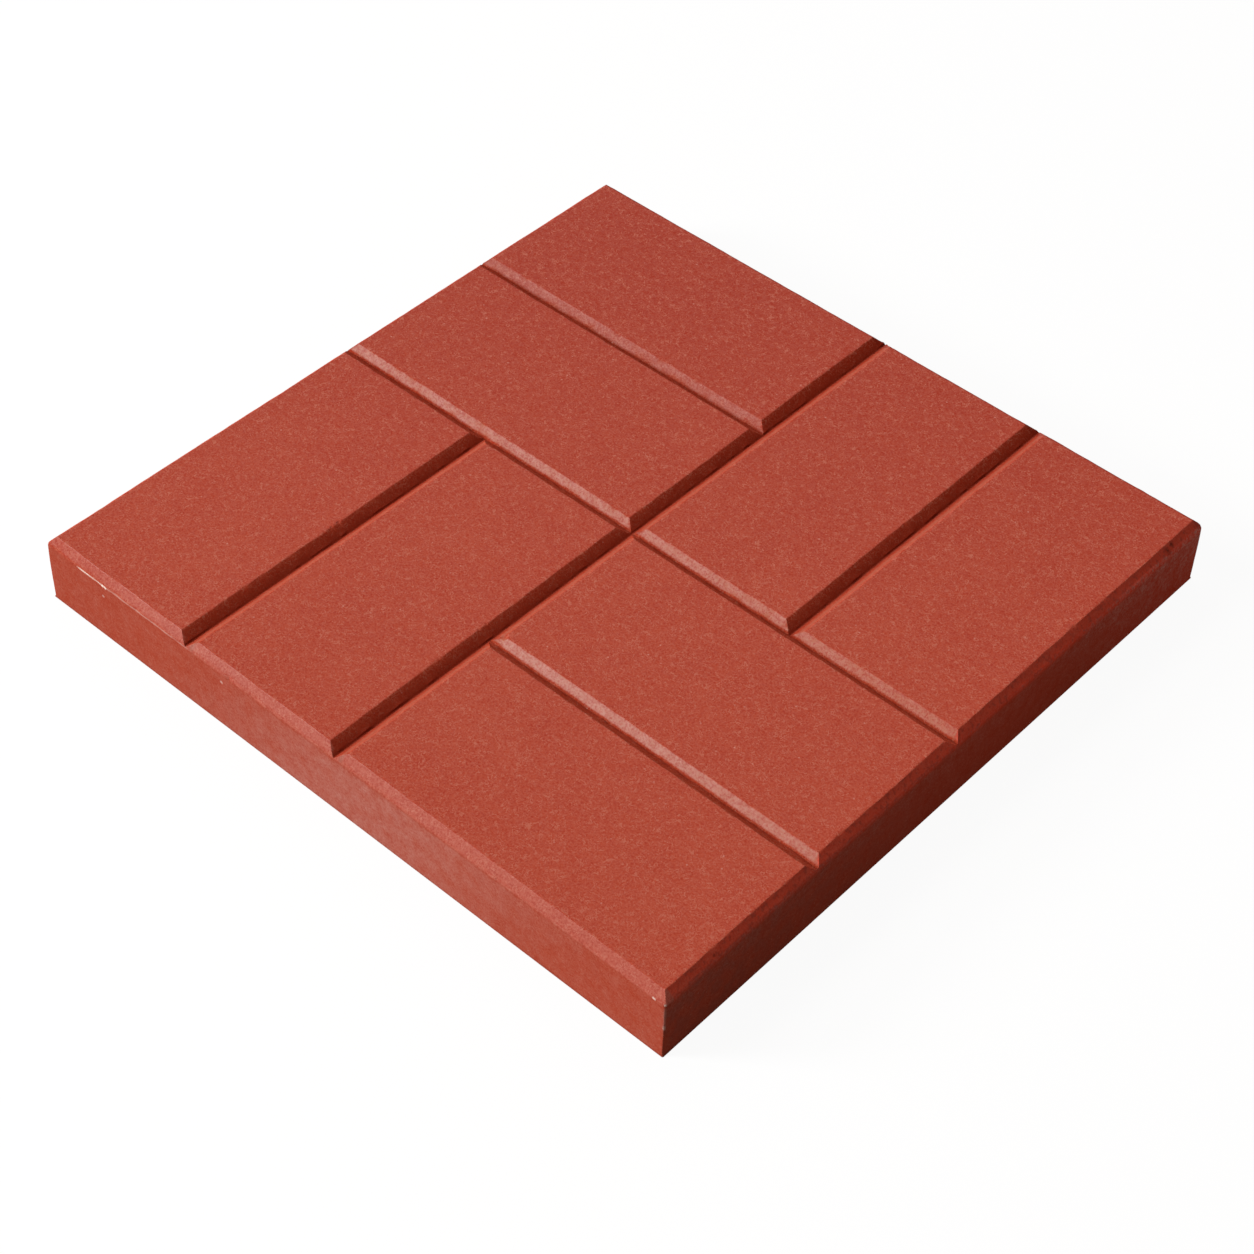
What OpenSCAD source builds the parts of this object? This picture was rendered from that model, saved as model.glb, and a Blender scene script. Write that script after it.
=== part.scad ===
// Square concrete paving stone with a brick basket weave moulded in its face.
// The origin is the middle of the bed, +Z points up through the face.

/* [Stone] */
// Side of the square, measured across the upright faces
side = 400; // [200:5:600]
// Height from the bed to the brick faces
thickness = 40; // [25:1:80]
// Radius of the four upright corners
corner_r = 1.5; // [0.5:0.5:6]

/* [Weave] */
// Square panels along each side, turned a quarter from one to the next
panels = 2; // [1:1:4]
// Brick faces lying side by side in each panel
bricks = 2; // [1:1:4]

/* [Joints] */
// Mouth of the V joints between the brick faces
joint_w = 10.5; // [4:0.5:16]
// Depth of the V joints, which run out at the foot of the edge chamfer
joint_depth = 4; // [2:0.5:8]
// Width of the edge chamfer, seen from above
chamfer_w = 4; // [2:0.5:8]

/* [Hidden] */

// Colour of the pigmented concrete
brick_red = [0.68, 0.28, 0.22];
// How far a cutter stands clear of the faces that it opens
clear = 2;
// Sides of the drawn corner arcs
$fn = 64;

panel_pitch = side / panels;
brick_pitch = panel_pitch / bricks;

// Outline of the stone seen from above
module outline() {
    straight = side - 2 * corner_r;
    square([side, straight], center = true);
    square([straight, side], center = true);
    for (x = [-1, 1], y = [-1, 1])
        translate([x * straight / 2, y * straight / 2])
            circle(r = corner_r);
}

// Lays a section along +X: its first axis becomes Y and its second axis Z
module along_x(length) {
    rotate([90, 0, 90])
        linear_extrude(height = length)
            children();
}

// V joint of the given length along +X, with z = 0 at the brick faces
module joint(length) {
    widening = (joint_depth + clear) / joint_depth;
    half_mouth = joint_w / 2 * widening;
    along_x(length)
        polygon([[0, -joint_depth], [half_mouth, clear], [-half_mouth, clear]]);
}

// Wedge that takes off one top edge, with y = 0 at its upright face
module edge_chamfer() {
    slope = joint_depth / chamfer_w;
    along_x(side + 2 * clear)
        polygon([
            [-clear, -joint_depth - clear * slope],
            [chamfer_w + clear / slope, clear],
            [-clear, clear]
        ]);
}

// Chamfer round all four top edges
module chamfers() {
    for (turn = [0 : 90 : 270])
        rotate(turn)
            translate([-side / 2 - clear, -side / 2, thickness])
                edge_chamfer();
}

// Straight joints that part the panels, from edge to edge both ways
module panel_joints() {
    for (turn = [0, 90], i = [1 : 1 : panels - 1])
        rotate(turn)
            translate([-side / 2, i * panel_pitch - side / 2, thickness])
                joint(side);
}

// Joints inside one panel, which lies around the origin with its bricks along X
module brick_joints() {
    for (i = [1 : 1 : bricks - 1])
        translate([-panel_pitch / 2, i * brick_pitch - panel_pitch / 2, thickness])
            joint(panel_pitch);
}

// Panels like the squares of a chessboard, the bricks of every other one along Y
module weave() {
    first = (panel_pitch - side) / 2;
    for (i = [0 : panels - 1], j = [0 : panels - 1])
        translate([first + i * panel_pitch, first + j * panel_pitch])
            rotate((i + j) % 2 == 0 ? 90 : 0)
                brick_joints();
}

module paving_stone() {
    color(brick_red)
        difference() {
            linear_extrude(height = thickness)
                outline();
            chamfers();
            panel_joints();
            weave();
        }
}

paving_stone();
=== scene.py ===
import math
import random

import bmesh
import bpy
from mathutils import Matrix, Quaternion, Vector, kdtree, noise


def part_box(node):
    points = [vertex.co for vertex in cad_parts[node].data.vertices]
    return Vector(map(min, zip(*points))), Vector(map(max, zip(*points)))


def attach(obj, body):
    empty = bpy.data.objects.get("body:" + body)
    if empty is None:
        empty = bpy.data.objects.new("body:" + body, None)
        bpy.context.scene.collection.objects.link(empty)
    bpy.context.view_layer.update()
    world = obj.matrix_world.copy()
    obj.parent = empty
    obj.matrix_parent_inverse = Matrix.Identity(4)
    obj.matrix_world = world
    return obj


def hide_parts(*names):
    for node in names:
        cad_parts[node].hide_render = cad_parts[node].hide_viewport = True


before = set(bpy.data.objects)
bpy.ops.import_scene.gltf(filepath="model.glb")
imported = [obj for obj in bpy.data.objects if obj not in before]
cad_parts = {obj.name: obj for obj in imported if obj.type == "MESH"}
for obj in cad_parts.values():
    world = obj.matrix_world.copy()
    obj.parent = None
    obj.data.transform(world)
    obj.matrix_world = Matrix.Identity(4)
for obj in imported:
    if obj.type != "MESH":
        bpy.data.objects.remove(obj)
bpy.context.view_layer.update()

# The stone is one block of concrete, pigmented red right through and cast face down.
# Ribs in the mould press the V joints of the basket weave and the edge chamfer into
# its face, and it comes out with arrises that are a little wavy, eased and chipped.
mm = 0.001
stone_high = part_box("paving_stone")[1]
half_side = stone_high.x
face_height = stone_high.z
brick_width = half_side / 2
rib_height = 4.4 * mm
chamfer = 4 * mm
foot_height = face_height - chamfer
joint_half_x = 5.9 * mm
joint_half_y = 4.9 * mm

# Shares of a flank over which its root is rounded and its arris is eased.
root_round_x = 0.08
root_round_y = 0.26
arris_ease = 0.04


def up_flanks(x, y):
    """How far up the joints' flanks, both ways, and up the chamfer a point lies: 1 at the arris."""
    across_x = abs(x)
    across_y = abs(y)
    if x * y > 0:
        across_x = min(across_x, abs(across_x - brick_width))
    else:
        across_y = min(across_y, abs(across_y - brick_width))
    from_edge = half_side - max(abs(x), abs(y))
    up_chamfer = (from_edge + rib_height - chamfer) / rib_height
    return across_x / joint_half_x, across_y / joint_half_y, up_chamfer


def rounded(up, root_round):
    """How far up a flank lies when its root is rounded."""
    return up if up > root_round else (up**2 + root_round**2) / (2 * root_round)


def drop_of_face(up_x, up_y, up_chamfer):
    """How far the mould presses the face down there, with eased arrises."""
    press = 1 - min(rounded(up_x, root_round_x), rounded(up_y, root_round_y), up_chamfer)
    if abs(press) < arris_ease:
        press = (press + arris_ease) ** 2 / (4 * arris_ease)
    return rib_height * max(0, press)


def mesh_lines(joint_half):
    """Places of the mesh lines across the stone, close together on the flanks and arrises."""
    steps = (0, 0.04, 0.08, 0.14, 0.2, 0.26, 0.36, 0.66, 0.93, 0.96, 1, 1.04)
    shoulder = (0.9 * mm, 2.2 * mm)
    at_joint = [joint_half * step for step in steps]
    at_joint += [joint_half + past for past in shoulder]
    at_edge = [rib_height * step - rib_height + chamfer for step in steps]
    at_edge = [0] + [place for place in at_edge if place > 0]
    at_edge += [chamfer + past for past in shoulder]
    bricks_across = 4
    plain_cells = 42
    lines = []
    for brick in range(bricks_across):
        start = brick * brick_width - half_side
        end = start + brick_width
        rising = at_edge if brick == 0 else at_joint
        falling = at_edge if brick == bricks_across - 1 else at_joint
        cell = (brick_width - rising[-1] - falling[-1]) / plain_cells
        lines += [start + place for place in rising]
        lines += [start + rising[-1] + cell * i for i in range(1, plain_cells)]
        lines += [end - place for place in reversed(falling) if place > 0]
    lines.append(half_side)
    return lines


def joint_marks(x, y, up_x, up_y, down):
    """Shares of painted shade with a little soil, of painted highlight on a lit arris, of painted
    highlight on a lit flank, and of smooth skin.
    """
    past_x = x - brick_width * round(x / brick_width)
    past_y = y - brick_width * round(y / brick_width)
    flank_onset = 12
    on_flank = min(1, down * flank_onset)
    # Flanks turned from the light: painted shade, deeper towards the root.
    if up_x < up_y and past_x < 0:
        return down, 0, 0, 1 - on_flank
    # Lit open flanks: painted shade in the root and a painted highlight band below the arris.
    if up_x < up_y and past_x > 0:
        open_fade = 1.5
        band_middle = 0.72
        band_reach = 0.24
        band_fade = 0.14
        band_share = min(1, max(0, (band_reach - abs(up_x - band_middle)) / band_fade))
        return down**open_fade, band_share, 0, 1
    # Lit flanks facing the front: painted shade in the root, a little soil, and a painted highlight
    # above the root's shadow.
    if up_y < up_x and past_y > 0:
        farther = max(0, y / brick_width)
        root_end = 0.2 - 0.15 * farther
        root_fade = 0.14
        root_shade = 0.8
        root_shade_fade = 14
        flank_soil = 0.04 + 0.16 * farther
        flank_highlight_level = 0.44 - 0.28 * farther
        flank_dullness = 0.2 * farther
        above_root = min(1, max(0, (up_y - root_end) / root_fade))
        soil_and_shade = max(flank_soil * on_flank, root_shade * down**root_shade_fade)
        highlight_share = flank_highlight_level * on_flank * above_root
        return soil_and_shade, 0, highlight_share, above_root * (1 - flank_dullness * on_flank)
    # Lee flanks: painted shade towards the root.
    lee_fade = 5
    lee_dullness = 0.8
    return down**lee_fade, 0, 0, 1 - lee_dullness * on_flank


# The face is a grid that the mould presses down. Each point of it also gets its marks, and the
# marks of a joint end where its mouth runs out into the chamfer.
lines_x = mesh_lines(joint_half_x)
lines_y = mesh_lines(joint_half_y)
cells = len(lines_x) - 1
rub_onset = 14
mouth_onset = 8
skin_rubbed_off = 0.75
casting = bmesh.new()
bmesh.ops.create_grid(casting, x_segments=cells, y_segments=cells, size=half_side)
joint_shade_and_soil = casting.verts.layers.float.new("joint_shade_and_soil")
on_chamfer = casting.verts.layers.float.new("on_chamfer")
painted_arris_highlight = casting.verts.layers.float.new("painted_arris_highlight")
painted_flank_highlight = casting.verts.layers.float.new("painted_flank_highlight")
smooth_skin = casting.verts.layers.float.new("smooth_skin")
arris = []
for v in casting.verts:
    x = lines_x[round((v.co.x + half_side) / (2 * half_side) * cells)]
    y = lines_y[round((v.co.y + half_side) / (2 * half_side) * cells)]
    up_x, up_y, up_chamfer = up_flanks(x, y)
    drop = drop_of_face(up_x, up_y, up_chamfer)
    v.co = (x, y, face_height - drop)
    if 0 < drop < rib_height * arris_ease:
        arris.append(v)
    up_joint = min(up_x, up_y)
    in_mouth = min(1, max(0, up_chamfer - up_joint) * mouth_onset)
    down_joint = max(0, 1 - up_joint) * in_mouth
    marks = joint_marks(x, y, up_x, up_y, down_joint)
    v[joint_shade_and_soil], v[painted_arris_highlight], v[painted_flank_highlight], smooth = marks
    rub = min(1, max(0, 1 - up_chamfer) * rub_onset)
    v[on_chamfer] = rub * (1 - in_mouth)
    v[smooth_skin] = smooth * (1 - skin_rubbed_off * v[on_chamfer])

# Where two flanks meet, each cell is parted along the hip between them.
flat_enough = 0.001 * mm
hips = []
for f in casting.faces:
    a, b, c, d = (v.co.z for v in f.verts)
    if abs(a - b + c - d) > flat_enough:
        hips.append(f)
bmesh.ops.triangulate(casting, faces=hips, quad_method="LONG_EDGE")

# The upright sides are drawn down from the chamfer's foot to the bed, row by row.
row_heights = (35.7, 35.2, 34.6, 33.8, 32.8, 31.5, 29, 25, 21, 17, 13, 9, 5.5, 2.5, 0.8, 0)
rubbed_below_foot = 3 * mm
rim = [e for e in casting.edges if e.is_boundary]
arris += {v for e in rim for v in e.verts}
for height in row_heights:
    row = bmesh.ops.extrude_edge_only(casting, edges=rim)["geom"]
    for v in row:
        if isinstance(v, bmesh.types.BMVert):
            v.co.z = height * mm
            v[joint_shade_and_soil] = 0
            v[painted_arris_highlight] = 0
            v[painted_flank_highlight] = 0
            v[smooth_skin] = 0
            v[on_chamfer] = max(0, 1 - (foot_height - v.co.z) / rubbed_below_foot)
    rim = [e for e in row if isinstance(e, bmesh.types.BMEdge) and e.is_boundary]
bmesh.ops.edgeloop_fill(casting, edges=rim)
bmesh.ops.recalc_face_normals(casting, faces=casting.faces)


def laying_order(f):
    """A number that sorts the faces from the bed up, then front to back, then left to right."""
    middle = f.calc_center_median()
    up = round(middle.z * 1e5)
    back = round(middle.y * 1e6)
    right = round(middle.x * 1e6)
    return (up * 1e6 + back) * 1e6 + right


# Extruding leaves the faces of the sides in a different order on each run, so all are sorted.
casting.faces.sort(key=laying_order)

# The foot of the chamfer is rounded over into the sides, in some places more than in others.
foot_round = 1.5 * mm
least_round = 0.3
long_swell = 24 * mm
short_swell = 6 * mm
sideways = math.sin(math.radians(45))
for v in casting.verts:
    to_edge = half_side - max(abs(v.co.x), abs(v.co.y))
    from_foot = max(to_edge * math.sqrt(2), foot_height - v.co.z)
    uneven = 0.6 * noise.noise(v.co / long_swell) + 0.8 * noise.noise(v.co / short_swell)
    reach = foot_round * max(least_round, 1 + uneven)
    if from_foot < reach:
        shift = reach / 4 * (1 - from_foot / reach) ** 2
        drawn_in = 1 - shift * sideways / half_side
        v.co.x *= drawn_in
        v.co.y *= drawn_in
        v.co.z -= shift * (1 - sideways)

# The upright corners are nearly sharp, and rounder at the tip of the chamfer.
corner_at_bed = 0.7 * mm
more_at_tip = 1.9 * mm
for v in casting.verts:
    corner_r = corner_at_bed + more_at_tip * (v.co.z / face_height) ** 5
    straight = half_side - corner_r
    past_x = abs(v.co.x) - straight
    past_y = abs(v.co.y) - straight
    if past_x > 0 and past_y > 0:
        ease = max(past_x, past_y) / math.hypot(past_x, past_y)
        v.co.x = math.copysign(straight + past_x * ease, v.co.x)
        v.co.y = math.copysign(straight + past_y * ease, v.co.y)

# Small chips along the arrises, each the scoop of a ball that bites into the edge, and two
# larger ones: at the brick corner where the front joint begins and at the chamfer's foot.
casting.normal_update()
casting.verts.index_update()
casting.verts.ensure_lookup_table()
places = kdtree.KDTree(len(casting.verts))
for v in casting.verts:
    places.insert(v.co, v.index)
places.balance()


def chip(v, radius, bite):
    """Takes a ball's scoop of the given bite off the stone at a vertex, both in millimetres."""
    ball = v.co + v.normal * (radius * mm - bite * mm)
    for _, index, _ in places.find_range(ball, radius * mm):
        bitten = casting.verts[index]
        from_ball = bitten.co - ball
        if bitten.co.z > 0 and from_ball.length < radius * mm:
            bitten.co = ball + from_ball.normalized() * (radius * mm)


def chip_near(point, radius, bite):
    """Takes such a scoop off at the vertex that is nearest to a point."""
    chip(casting.verts[places.find(point)[1]], radius, bite)


chip_count = 340
chip_radii = (1.2, 3.2)
chip_bites = (0.05, 0.34)
chance = random.Random(7)
arris.sort(key=lambda v: v.index)
for v in chance.sample(arris, chip_count):
    chip(v, chance.uniform(*chip_radii), chance.uniform(*chip_bites))
chip_near(Vector((joint_half_x, joint_half_y - brick_width, face_height)), 4.5, 1.1)
chip_near(Vector((-70 * mm, -half_side, foot_height)), 5, 0.7)

# Unevenness of the mould and of the paste: slow waves over the whole stone, ragged arrises,
# and crumbs of paste left in the roots of the joints. The sides make room for the waves.
noise.seed_set(7)
room_for_waves = 0.35 * mm
flat_bed = 0.1 * mm
arris_band = 0.3
root_band = 0.4

# Lengths of the waves, how far each sways the skin in millimetres, and how much of it lifts.
slow_wave = 34 * mm
fine_wave = 7 * mm
ragged_wave = 4.2 * mm
small_lump = 5 * mm
large_lump = 12 * mm
slow_sway = 0.24
fine_sway = 0.13
arris_sway = 0.1
ragged_sway = 0.14
crumb_height = 1.3
slow_lift = 0.2
fine_lift = 0.15
fine_offset = Vector((7, 3, 5))
ragged_offset = Vector((2, 9, 4))
inward = 1 - room_for_waves / half_side
for v in casting.verts:
    if v.co.z < flat_bed:
        continue
    up_x, up_y, up_chamfer = up_flanks(v.co.x, v.co.y)
    at_arris = max(0, 1 - abs(min(up_x, up_y, up_chamfer) - 1) / arris_band)
    at_root = max(0, 1 - min(up_x, up_y) / root_band) if v.co.z > foot_height else 0
    slow = noise.noise_vector(v.co / slow_wave) * slow_sway * mm
    fine = noise.noise_vector(v.co / fine_wave + fine_offset)
    fine = fine * (fine_sway + arris_sway * at_arris) * mm
    ragged = noise.noise_vector(v.co / ragged_wave + ragged_offset) * ragged_sway * at_arris * mm
    lumps = max(0, noise.noise(v.co / small_lump)) + 0.7 * max(0, noise.noise(v.co / large_lump))
    crumbs = lumps * crumb_height * at_root * mm
    v.co.x = v.co.x * inward + slow.x + fine.x + ragged.x
    v.co.y = v.co.y * inward + slow.y + fine.y + ragged.y
    v.co.z += slow.z * slow_lift + fine.z * fine_lift + crumbs

crease_angle = math.radians(16)
stone_mesh = bpy.data.meshes.new("stone")
casting.to_mesh(stone_mesh)
casting.free()
stone_mesh.shade_smooth()
stone_mesh.set_sharp_from_angle(angle=crease_angle)
stone = bpy.data.objects.new("stone", stone_mesh)
bpy.context.scene.collection.objects.link(stone)
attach(stone, "root")
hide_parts("paving_stone")

# Red concrete: iron oxide pigment in cement paste and fine sand, matte as it left the mould.
# It has a fine grain with pale threads and specks, painted shade in the joints over a little soil,
# a deeper tone on the sides, a fresh colour on the right chamfer, painted light and shade across
# the face and on the right side, painted highlights on lit flanks, and lime bloom mixed with
# painted sheen on the front.
red_concrete = bpy.data.materials.new("red_concrete")
red_concrete.use_nodes = True
concrete = red_concrete.node_tree
skin = concrete.nodes["Principled BSDF"]


def feed(socket, value):
    """Gives a socket of the concrete a link, or else a value of its own."""
    if isinstance(value, bpy.types.NodeSocket):
        concrete.links.new(value, socket)
    else:
        socket.default_value = value


def concrete_node(kind, inputs, **settings):
    """A node of the concrete, with its settings and a value or a link for each input named."""
    made = concrete.nodes.new("ShaderNode" + kind)
    for name, value in settings.items():
        setattr(made, name, value)
    for name, value in inputs.items():
        feed(made.inputs[name], value)
    return made


def ramp(value, low, high, start=0.0, end=1.0):
    """The value carried from low..high over to start..end, and held there beyond."""
    inputs = {"Value": value, "From Min": low, "From Max": high, "To Min": start, "To Max": end}
    return concrete_node("MapRange", inputs).outputs["Result"]


def sum_of(first, second, share=1.0):
    """The first value and a share of the second."""
    inputs = {0: second, 1: share, 2: first}
    return concrete_node("Math", inputs, operation="MULTIPLY_ADD").outputs[0]


def times(first, second):
    """The product of two values."""
    return concrete_node("Math", {0: first, 1: second}, operation="MULTIPLY").outputs[0]


def within(value, middle, half, fade):
    """1 where a value lies within half of the middle, and down to 0 over the fade."""
    off = concrete_node("Math", {0: value, 1: middle}, operation="SUBTRACT").outputs[0]
    off = concrete_node("Math", {0: off}, operation="ABSOLUTE").outputs[0]
    return ramp(off, half, half + fade, 1, 0)


def tinted(under, over, share):
    """One colour laid over another by a share."""
    first_colour = 6
    second_colour = 7
    mixed_colour = 2
    made = concrete_node("Mix", {}, data_type="RGBA")
    feed(made.inputs[0], share)
    feed(made.inputs[first_colour], under)
    feed(made.inputs[second_colour], over)
    return made.outputs[mixed_colour]


def speckle(scale, detail, distortion=0.0):
    """Noise in the paste, as many specks to the metre as the scale says."""
    inputs = {"Vector": place, "Scale": scale, "Detail": detail, "Distortion": distortion}
    return concrete_node("TexNoise", inputs).outputs["Fac"]


def near(point, reach, fade):
    """1 within reach of a point of the stone and down to 0 over the fade, all in millimetres."""
    inputs = {0: place, 1: [part * mm for part in point]}
    away = concrete_node("VectorMath", inputs, operation="DISTANCE").outputs["Value"]
    return ramp(away, reach * mm, (reach + fade) * mm, 1, 0)


def mark(name):
    """One of the marks that the casting's mesh carries."""
    return concrete_node("Attribute", {}, attribute_name=name).outputs["Fac"]


# The paste is grained, mottled and clouded, and painted light falloff makes it lighter towards the
# front left and darker and duller towards the back corner.
deep_red = (0.350, 0.033, 0.0145, 1)
pale_red = (0.424, 0.063, 0.0285, 1)
falloff_dull_red = (0.30, 0.022, 0.006, 1)
place = concrete_node("TexCoord", {}).outputs["Object"]
spot_of = concrete_node("SeparateXYZ", {"Vector": place}).outputs
clouds = speckle(26, 4)
mottle = speckle(130, 3)
grain = speckle(950, 2)
sand = speckle(420, 2)
stipple = sum_of(grain, sand)
falloff_to_back = sum_of(spot_of["Y"], spot_of["X"], -0.5)
back_corner = 1.25 * half_side
tone = sum_of(ramp(grain, 0.34, 0.66), ramp(mottle, 0.3, 0.7, -0.13, 0.13))
tone = sum_of(tone, ramp(clouds, 0.3, 0.7, -0.12, 0.12))
# Painted light falloff: lighter towards the front left, darker towards the back corner.
tone = sum_of(tone, ramp(falloff_to_back, -back_corner, back_corner, 0.23, -0.18))
paste = tinted(deep_red, pale_red, tone)
# Painted shade: duller towards the back corner.
paste = tinted(paste, falloff_dull_red, ramp(falloff_to_back, -0.1 * back_corner, back_corner, 0, 0.56))

# Pale threads and grains of sand show in the skin of the paste.
thread_pink = (0.49, 0.140, 0.088, 1)
sand_pink = (0.60, 0.30, 0.24, 1)
curls = within(speckle(540, 0, 1.2), 0.5, 0.025, 0.06)
threads = times(curls, ramp(speckle(280, 2), 0.40, 0.64, 0.24, 0.76))
paste = tinted(paste, thread_pink, threads)
sand_grains = concrete_node("TexVoronoi", {"Vector": place, "Scale": 240})
picked = concrete_node("SeparateColor", {"Color": sand_grains.outputs["Color"]}).outputs["Red"]
specks = times(ramp(sand_grains.outputs["Distance"], 0.06, 0.14, 1, 0), ramp(picked, 0.8, 1.0))
paste = tinted(paste, sand_pink, times(specks, 0.6))

# The joints get painted shade in their roots and on the flanks turned from the light, over a little
# soil. Painted highlights lighten the lit flanks, in their grain, and a band below the arris of the
# X joints' lit flanks. The sides are deeper, most of all at the bed's edge.
shade_and_soil_red = (0.22, 0.022, 0.009, 1)
arris_highlight_pink = (0.31, 0.100, 0.064, 1)
highlight_pink = (0.38, 0.112, 0.052, 1)
side_red = (0.29, 0.042, 0.019, 1)
# Painted shade in the joints' roots and on the flanks turned from the light, with a little soil.
paste = tinted(paste, shade_and_soil_red, times(mark("joint_shade_and_soil"), 0.9))
# Painted highlight below the arrises of the X joints' lit flanks.
paste = tinted(paste, arris_highlight_pink, times(mark("painted_arris_highlight"), 0.55))
# Painted highlight, grained, on the lit front-facing flanks of the joints.
paste = tinted(paste, highlight_pink, times(mark("painted_flank_highlight"), ramp(grain, 0.34, 0.66, 0.3, 1.7)))
sides = ramp(spot_of["Z"], foot_height - 1 * mm, foot_height, 0.5, 0)
sides = sum_of(sides, ramp(spot_of["Z"], 0.3 * mm, 1.2 * mm, 0.4, 0))
paste = tinted(paste, side_red, sides)

# The right chamfer is rubbed fresh in patches and pitted, with painted shade towards its top. The
# right side has painted light towards the back, also below the chamfer, and painted shade towards
# the front, and painted shade lies on the back chamfer along the back edge.
fresh_and_lit_red = (0.66, 0.050, 0.013, 1)
front_shade_brown = (0.20, 0.026, 0.011, 1)
pit_and_shade_brown = (0.18, 0.014, 0.005, 1)
back_shade_brown = (0.18, 0.012, 0.004, 1)
rubbed = mark("on_chamfer")
right_chamfer = times(rubbed, ramp(spot_of["X"], half_side - 6 * mm, half_side - 5 * mm))
right_chamfer = times(right_chamfer, ramp(spot_of["Y"], 5 * mm - half_side, 6 * mm - half_side))
on_right = within(spot_of["X"], half_side, 0.8 * mm, 0.8 * mm)
# Painted light: the right side is brighter towards the back and just below its chamfer.
lit_towards_back = ramp(spot_of["Y"], -0.7 * half_side, 0.2 * half_side, 0, 0.24)
lit_towards_back = sum_of(lit_towards_back, ramp(spot_of["Y"], 0.5 * half_side, half_side, 0, 0.4))
lit_below_chamfer = ramp(spot_of["Z"], foot_height - 5 * mm, foot_height - 1 * mm)
lit_below_chamfer = times(lit_below_chamfer, ramp(spot_of["Y"], -0.3 * half_side, 0.4 * half_side, 0, 0.26))
lit_towards_back = times(sum_of(lit_towards_back, lit_below_chamfer), on_right)
# Fresh patches on the right chamfer, and the painted light on the right side.
fresh_and_lit = sum_of(times(right_chamfer, ramp(mottle, 0.35, 0.6, 0.5, 0.7)), lit_towards_back)
paste = tinted(paste, fresh_and_lit_red, fresh_and_lit)
# Painted shade: the right side is darker towards the front.
front_end_shade = times(on_right, ramp(spot_of["Y"], -half_side, 0, 0.45, 0))
paste = tinted(paste, front_shade_brown, times(front_end_shade, ramp(mottle, 0.42, 0.58, 0.1, 1)))
# Pits, and painted shade towards the top of the right chamfer.
pits_and_shade = ramp(spot_of["Z"], foot_height + 1 * mm, face_height - 1 * mm, 0, 0.18)
pits_and_shade = sum_of(pits_and_shade, ramp(sand, 0.52, 0.64, 0, 0.35))
paste = tinted(paste, pit_and_shade_brown, times(right_chamfer, pits_and_shade))
# Painted shade on the back chamfer along the back edge.
back_edge_shade = ramp(spot_of["Y"], half_side - 5.4 * mm, half_side - 4.6 * mm, 0, 0.5)
back_edge_shade = times(back_edge_shade, ramp(spot_of["Z"], foot_height - 1 * mm, foot_height + 1 * mm))
paste = tinted(paste, back_shade_brown, back_edge_shade)

# Lime bloom mixed with painted sheen lies on the front side, most in a band across its middle, and
# faintly on the others, along the chamfers and on the lit flank of the front joint. A painted
# reflection and painted light make a haze high up and towards the back on the right side. All of it
# lies thicker in the pale grain of the paste.
bloom_and_sheen_grey = (0.75, 0.65, 0.60, 1)
leaning = sum_of(spot_of["X"], spot_of["Z"], -1.2)
on_front = within(spot_of["Y"], -half_side, 0.8 * mm, 0.8 * mm)
below_foot = ramp(spot_of["Z"], foot_height - 2.5 * mm, foot_height - 0.5 * mm, 1, 0)
above_foot = ramp(spot_of["Z"], foot_height, foot_height + 0.2 * mm)
# Bloom and painted sheen on the front side, most in a band across its middle.
bloom_and_sheen = times(within(leaning, -3 * mm, 26 * mm, 100 * mm), times(on_front, below_foot))
bloom_and_sheen = times(bloom_and_sheen, ramp(mottle, 0.3, 0.7, 0.045, 0.095))
# Faint bloom and painted sheen on all sides.
on_sides = ramp(spot_of["Z"], foot_height - 0.4 * mm, foot_height + 0.2 * mm, 1, 0)
on_sides = times(on_sides, ramp(mark("joint_shade_and_soil"), 0, 0.3, 1, 0))
bloom_and_sheen = sum_of(bloom_and_sheen, times(on_sides, ramp(mottle, 0.3, 0.7, 0.012, 0.040)))
# Painted reflection and painted light: a haze high up and towards the back of the right side.
reflection_to_back = ramp(spot_of["Y"], 80 * mm, 190 * mm, 0, 0.105)
reflection_haze = times(reflection_to_back, ramp(spot_of["Z"], 0, foot_height, 0.3, 1))
reflection_haze = sum_of(reflection_haze, ramp(spot_of["Z"], 18 * mm, 32 * mm, 0, 0.018))
reflection_haze = times(reflection_haze, ramp(mottle, 0.3, 0.7, 0.5, 1.5))
reflection_haze = times(reflection_haze, ramp(stipple, 0.75, 1.25, 0.1, 1.9))
bloom_and_sheen = sum_of(bloom_and_sheen, times(on_right, reflection_haze))
off_left = ramp(spot_of["X"], -half_side, -half_side / 2)
# Bloom and painted sheen along the chamfers, most on the front one.
chamfer_bloom_and_sheen = ramp(spot_of["Y"], 5 * mm - half_side, 6 * mm - half_side, 0.068, 0.034)
chamfer_bloom_and_sheen = times(chamfer_bloom_and_sheen, ramp(spot_of["Z"], foot_height - 1.2 * mm, foot_height))
bloom_and_sheen = sum_of(bloom_and_sheen, times(rubbed, times(off_left, chamfer_bloom_and_sheen)))
# Bloom and painted highlight on the lit flank of the front joint.
front_joint_bloom_and_sheen = within(spot_of["Y"], 3.2 * mm - brick_width, 1.4 * mm, 0.6 * mm)
front_joint_bloom_and_sheen = times(front_joint_bloom_and_sheen, within(spot_of["X"], 101 * mm, 94 * mm, 1 * mm))
bloom_and_sheen = sum_of(bloom_and_sheen, times(front_joint_bloom_and_sheen, above_foot), 0.06)
paste = tinted(paste, bloom_and_sheen_grey, times(bloom_and_sheen, ramp(grain, 0.34, 0.66, 0.75, 1.25)))

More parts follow.
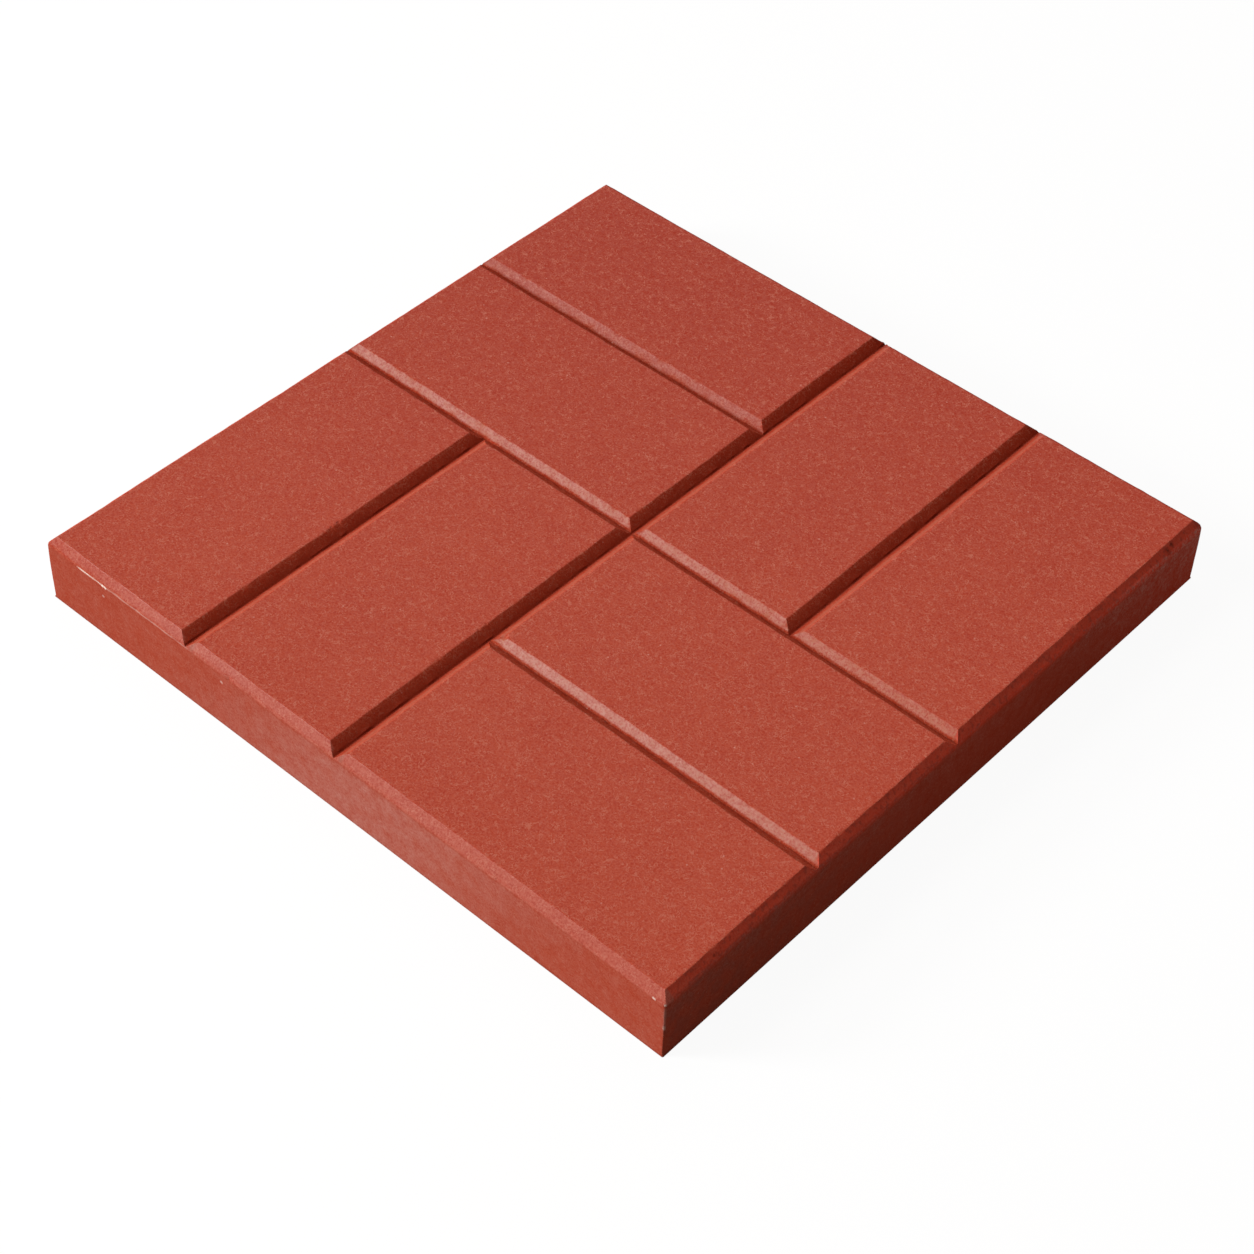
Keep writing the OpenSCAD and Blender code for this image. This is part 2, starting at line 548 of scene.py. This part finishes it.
# Lime has also come out along the chamfer's foot near the left corner, in small spots, and
# down the front corner. Each spot has its place, reach and fade in millimetres and a strength.
lime_white = (0.80, 0.66, 0.58, 1)
lime_spots = (
    ((-158.5, -199.7, 35.2), 0.4, 0.6, 1),
    ((-156.5, -199.7, 35.1), 0.4, 0.6, 1),
    ((-159, -199.8, 28), 0.5, 0.6, 0.4),
    ((-75, -199.8, 30), 0.6, 0.6, 0.4),
    ((193.5, -199.6, 35.2), 0.3, 0.5, 0.7),
    ((192.7, -199.6, 35.4), 0.3, 0.5, 0.7),
    ((199.2, -199.2, 35.4), 0.4, 0.5, 0.7),
)
strong = within(spot_of["X"], -167 * mm, 9 * mm, 2 * mm)
faint = within(spot_of["X"], -130 * mm, 26 * mm, 10 * mm)
foot_line = times(sum_of(strong, faint, 0.3), on_front)
foot_line = times(foot_line, within(spot_of["Z"], foot_height - 0.6 * mm, 0.2 * mm, 0.3 * mm))
lime = times(foot_line, ramp(mottle, 0.35, 0.55, 0.4, 1))
for point, reach, fade, strength in lime_spots:
    lime = sum_of(lime, near(point, reach, fade), strength)
front_corner = times(on_right, on_front)
lime = sum_of(lime, times(front_corner, within(spot_of["Z"], 26 * mm, 6 * mm, 2 * mm)), 0.14)
lime = sum_of(lime, times(front_corner, within(spot_of["Z"], 20 * mm, 0.5 * mm, 1.5 * mm)), 0.35)
paste = tinted(paste, lime_white, times(lime, 0.8))

# Two dark stains lie on the right chamfer, one near each end.
stain_brown = (0.10, 0.012, 0.005, 1)
stain = sum_of(near((198, -167, 38), 0.5, 0.5), near((198.5, 171, 37.6), 0.6, 2.2))
stain = sum_of(stain, near((197, 175, 39), 0.4, 1.8))
paste = tinted(paste, stain_brown, times(stain, ramp(sand, 0.38, 0.58, 0.3, 0.75)))

# The bed lay open in the mould and was struck off wet, so it has clouds of lime and pores.
on_bed = ramp(spot_of["Z"], 0.1 * mm, 0.3 * mm, 1, 0)
paste = tinted(paste, bloom_and_sheen_grey, times(on_bed, ramp(clouds, 0.3, 0.7, 0.05, 0.12)))
paste = tinted(paste, pit_and_shade_brown, times(on_bed, ramp(sand, 0.6, 0.66, 0, 0.6)))

# The body is dead matte, and its grain and sand stand out a little. Only the skin that set
# against the mould's face has a weak, grainy sheen. The sides, and the roots and shaded flanks
# of the joints, have none, and the chamfers have lost most of it.
face_sheen = ramp(stipple, 0.75, 1.25, 0.23, 0.47)
relief = {"Height": stipple, "Strength": 0.5, "Distance": 0.1 * mm}
feed(skin.inputs["Base Color"], paste)
feed(skin.inputs["Roughness"], sum_of(ramp(sand, 0.3, 0.7, 0.62, 0.72), rubbed, 0.1))
feed(skin.inputs["Normal"], concrete_node("Bump", relief).outputs["Normal"])
feed(skin.inputs["Coat Weight"], times(mark("smooth_skin"), face_sheen))
skin.inputs["Coat Roughness"].default_value = 0.42
skin.inputs["Specular IOR Level"].default_value = 0
skin.inputs["Diffuse Roughness"].default_value = 0.7
stone_mesh.materials.append(red_concrete)

# The floor is a plain sheet of white paper, cut out under the stone so that the bed shows from
# below. The camera and a sheen see it evenly white, with only a faint shadow of the stone,
# which gets less light back from it than from bare white.
sheet_half = 6
cut_out_half = half_side - 0.6 * mm
sheet = bmesh.new()
bmesh.ops.create_grid(sheet, x_segments=3, y_segments=3, size=sheet_half)
for v in sheet.verts:
    if abs(v.co.x) < sheet_half / 2:
        v.co.x = math.copysign(cut_out_half, v.co.x)
    if abs(v.co.y) < sheet_half / 2:
        v.co.y = math.copysign(cut_out_half, v.co.y)
under_stone = [f for f in sheet.faces if f.calc_center_median().length < cut_out_half]
bmesh.ops.delete(sheet, geom=under_stone, context="FACES_ONLY")
floor_mesh = bpy.data.meshes.new("floor")
sheet.to_mesh(floor_mesh)
sheet.free()
floor = bpy.data.objects.new("floor", floor_mesh)
bpy.context.scene.collection.objects.link(floor)


def sees_white(tree):
    """1 for a ray from the camera, and for one that a sheen or a clear body sends on."""
    path = tree.nodes.new("ShaderNodeLightPath")
    rays = path.outputs["Is Camera Ray"]
    for kind in ("Is Glossy Ray", "Is Transmission Ray"):
        either = tree.nodes.new("ShaderNodeMath")
        either.operation = "MAXIMUM"
        tree.links.new(rays, either.inputs[0])
        tree.links.new(path.outputs[kind], either.inputs[1])
        rays = either.outputs[0]
    return rays


grey_of_paper = (0.24, 0.24, 0.24, 1)
white_of_paper = (0.9, 0.9, 0.9, 1)
evenness = 0.94
paper = bpy.data.materials.new("paper")
paper.use_nodes = True
nodes = paper.node_tree.nodes
links = paper.node_tree.links
nodes.clear()
out = nodes.new("ShaderNodeOutputMaterial")
seen = nodes.new("ShaderNodeMixShader")
paper_shade = nodes.new("ShaderNodeMixShader")
grey = nodes.new("ShaderNodeBsdfDiffuse")
white = nodes.new("ShaderNodeBsdfDiffuse")
glow = nodes.new("ShaderNodeEmission")
grey.inputs["Color"].default_value = grey_of_paper
white.inputs["Color"].default_value = white_of_paper
glow.inputs["Strength"].default_value = 1
paper_shade.inputs["Fac"].default_value = evenness
links.new(white.outputs[0], paper_shade.inputs[1])
links.new(glow.outputs[0], paper_shade.inputs[2])
links.new(sees_white(paper.node_tree), seen.inputs["Fac"])
links.new(grey.outputs[0], seen.inputs[1])
links.new(paper_shade.outputs[0], seen.inputs[2])
links.new(seen.outputs[0], out.inputs["Surface"])
floor_mesh.materials.append(paper)

# The light comes from two large soft lamps at the left, one low and one high, with a weaker
# one behind the stone, and from a pale warm room around it, which the camera and a sheen see
# as white.


def soft_lamp(name, direction, size, level):
    """A far round lamp that gives a white sheet turned to it the brightness level."""
    distance = 4
    light = bpy.data.lights.new(name, "AREA")
    light.shape = "DISK"
    light.size = size
    light.energy = level * math.pi**2 * distance**2
    lamp = bpy.data.objects.new(name, light)
    towards = Vector(direction).normalized()
    lamp.location = towards * distance
    lamp.rotation_mode = "QUATERNION"
    lamp.rotation_quaternion = (-towards).to_track_quat("-Z", "Y")
    bpy.context.scene.collection.objects.link(lamp)


soft_lamp("low_lamp", direction=(-0.64, -0.655, 0.40), size=1.0, level=1.05)
soft_lamp("high_lamp", direction=(-0.47, -0.58, 0.665), size=1.3, level=0.5)
soft_lamp("back_lamp", direction=(-0.5, 0.45, 0.74), size=3.6, level=0.17)

warm_white = (1, 0.79, 0.68, 1)
plain_white = (1, 1, 1, 1)
room = bpy.data.worlds.new("room")
bpy.context.scene.world = room
room.use_nodes = True
nodes = room.node_tree.nodes
links = room.node_tree.links
nodes.clear()
out = nodes.new("ShaderNodeOutputWorld")
seen = nodes.new("ShaderNodeMixShader")
fill = nodes.new("ShaderNodeBackground")
backdrop = nodes.new("ShaderNodeBackground")
fill.inputs["Color"].default_value = warm_white
fill.inputs["Strength"].default_value = 0.3
backdrop.inputs["Color"].default_value = plain_white
backdrop.inputs["Strength"].default_value = 1
links.new(sees_white(room.node_tree), seen.inputs["Fac"])
links.new(fill.outputs[0], seen.inputs[1])
links.new(backdrop.outputs[0], seen.inputs[2])
links.new(seen.outputs[0], out.inputs["Surface"])
bpy.context.scene.view_settings.view_transform = "Standard"

# The camera stands above the front corner and looks down across the whole face, rolled a
# little to one side.
camera_place = Vector((0.6195, -0.7231, 0.9511))
camera_aim = Vector((0.03061, -0.03632, 0.020))
camera_roll = math.radians(2.178)
view = bpy.data.cameras.new("camera")
view.sensor_width = 36
view.lens = 77.75
camera = bpy.data.objects.new("camera", view)
camera.location = camera_place
camera.rotation_mode = "QUATERNION"
upright = (camera_aim - camera_place).to_track_quat("-Z", "Y")
camera.rotation_quaternion = upright @ Quaternion((0, 0, 1), camera_roll)
bpy.context.scene.collection.objects.link(camera)
bpy.context.scene.camera = camera
